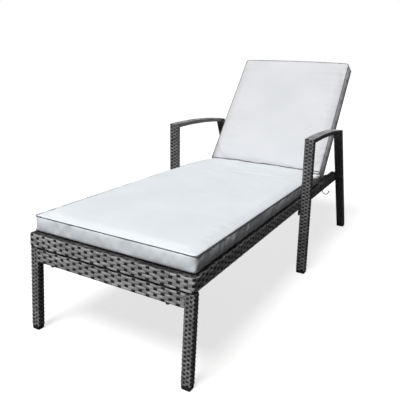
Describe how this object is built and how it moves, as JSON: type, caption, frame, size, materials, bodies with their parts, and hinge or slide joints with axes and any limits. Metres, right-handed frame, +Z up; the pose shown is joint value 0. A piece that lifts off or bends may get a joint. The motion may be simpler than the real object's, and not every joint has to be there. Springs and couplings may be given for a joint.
{
  "type": "reclining sun lounger",
  "caption": "Woven-wicker sun lounger with arms, a hinged back propped by a notched stay, and a loose two-section cushion with ties",
  "frame": {"origin": "on the floor at the middle of the footprint, under the centre of the lounger", "axes": "+Z up, +Y from the foot end to the head end, +X to the sitter's left"},
  "size_m": [0.7, 1.8481, 0.9346],
  "materials": {
    "frame_steel": "satin powder coat",
    "wicker": "flat-strand resin weave, streaked grey over near-black stakes",
    "black_plastic": "moulded matte",
    "zinc_steel": "zinc plated",
    "nylon": "satin",
    "cushion_cloth": "plain woven outdoor cloth with grey piping",
    "tie_cord": "woven tape"
  },
  "bodies": {
    "bed": {"arm_bolt_nuts": "zinc_steel", "arm_bolts": "zinc_steel", "arm_core_l": "frame_steel", "arm_core_r": "frame_steel", "arm_foot_caps": "black_plastic", "arm_post_weave_l": "wicker", "arm_post_weave_r": "wicker", "arm_top_weave_l": "wicker", "arm_top_weave_r": "wicker", "bed_frame_core": "frame_steel", "cushion_tie_l": "tie_cord", "cushion_tie_r": "tie_cord", "foot_rail_weave": "wicker", "front_foot_caps": "black_plastic", "front_leg_weave_l": "wicker", "front_leg_weave_r": "wicker", "hinge_nuts": "zinc_steel", "hinge_plate_l": "frame_steel", "hinge_plate_r": "frame_steel", "hinge_plate_rivets": "zinc_steel", "hinge_studs": "zinc_steel", "hinge_washers": "nylon", "leg_frame_bolts": "zinc_steel", "leg_frame_core": "frame_steel", "leg_frame_nuts": "zinc_steel", "leg_frame_washers": "zinc_steel", "leg_rail_weave": "wicker", "post_brackets": "frame_steel", "rack_l": "frame_steel", "rack_r": "frame_steel", "rear_leg_weave_l": "wicker", "rear_leg_weave_r": "wicker", "rear_rail": "frame_steel", "rear_rail_pads": "black_plastic", "seat_cross_bars": "frame_steel", "seat_cushion": "cushion_cloth", "seat_deck": "wicker", "side_rail_weave_l": "wicker", "side_rail_weave_r": "wicker", "tie_knot_l": "tie_cord", "tie_knot_r": "tie_cord"},
    "back": {"back_stile_l": "frame_steel", "back_stile_r": "frame_steel", "back_bottom_rail": "frame_steel", "back_top_rail": "frame_steel", "back_slats": "frame_steel", "back_panel": "wicker", "stile_plugs": "black_plastic", "hinge_bushes": "nylon", "stay_ears": "frame_steel", "stay_studs": "zinc_steel", "stay_washers": "nylon", "stay_nuts": "zinc_steel", "back_cushion": "cushion_cloth"},
    "stay": {"stay_arm_l": "frame_steel", "stay_arm_r": "frame_steel", "stay_bar": "frame_steel"}
  },
  "joints": [
    {"name": "back_recline", "type": "hinge", "parent": "bed", "child": "back", "pos_m": [0, 0.453, 0.336], "axis": [1, 0, 0], "range_deg": [-51.4, 16.6]},
    {"name": "stay_swing", "type": "hinge", "parent": "back", "child": "stay", "pos_m": [0, 0.53989, 0.42725], "axis": [1, 0, 0], "range_deg": [-33.2, 102.8]}
  ],
  "couplings": [
    {"joint": "stay_swing", "follows": "back_recline", "ratio": -2}
  ]
}
